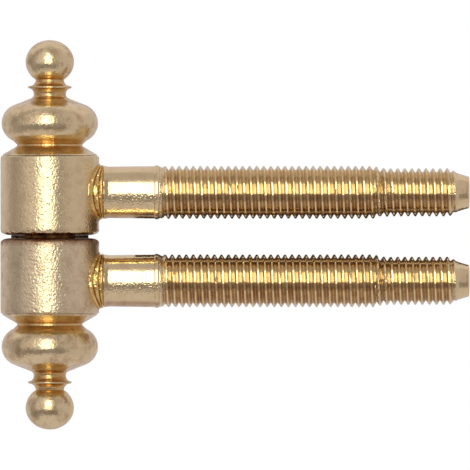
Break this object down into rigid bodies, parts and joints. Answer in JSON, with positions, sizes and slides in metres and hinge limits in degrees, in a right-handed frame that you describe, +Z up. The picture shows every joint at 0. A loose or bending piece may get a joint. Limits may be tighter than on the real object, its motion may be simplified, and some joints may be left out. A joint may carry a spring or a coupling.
{
  "type": "door hinge",
  "caption": "Lift-off drill-in door hinge: turned barrels on one pin, each with a finial and a long threaded shank that screws into the door or its frame.",
  "frame": {"origin": "where the hinge axis meets the axis of the lower, frame-side shank", "axes": "+Z up along the hinge axis, from the frame leaf to the door leaf; +X along both shanks, away from the barrels, at rest; -Y towards a viewer who has the shanks on the right"},
  "size_m": [0.0665, 0.014, 0.0553],
  "materials": {
    "tumbled_brass": "brass-plated, tumbled to a fine matt grain",
    "rolled_brass": "brass-plated over a rolled thread, bright crests and darker roots",
    "polished_brass": "turned and polished brass",
    "pin_steel": "ground steel",
    "washer_brass": "plain stamped brass"
  },
  "bodies": {
    "frame_leaf": {"lower_barrel": "tumbled_brass", "lower_shank": "rolled_brass", "lower_finial": "polished_brass", "hinge_pin": "pin_steel"},
    "washer": {"bearing_washer": "washer_brass"},
    "door_leaf": {"upper_barrel": "tumbled_brass", "upper_shank": "rolled_brass", "upper_finial": "polished_brass"}
  },
  "joints": [
    {"name": "swing", "type": "hinge", "parent": "frame_leaf", "child": "washer", "pos_m": [0, 0, 0.0063], "axis": [0, 0, 1], "continuous": true},
    {"name": "lift_off", "type": "slide", "parent": "washer", "child": "door_leaf", "axis": [0, 0, 1], "range_m": [0, 0.0085]}
  ]
}
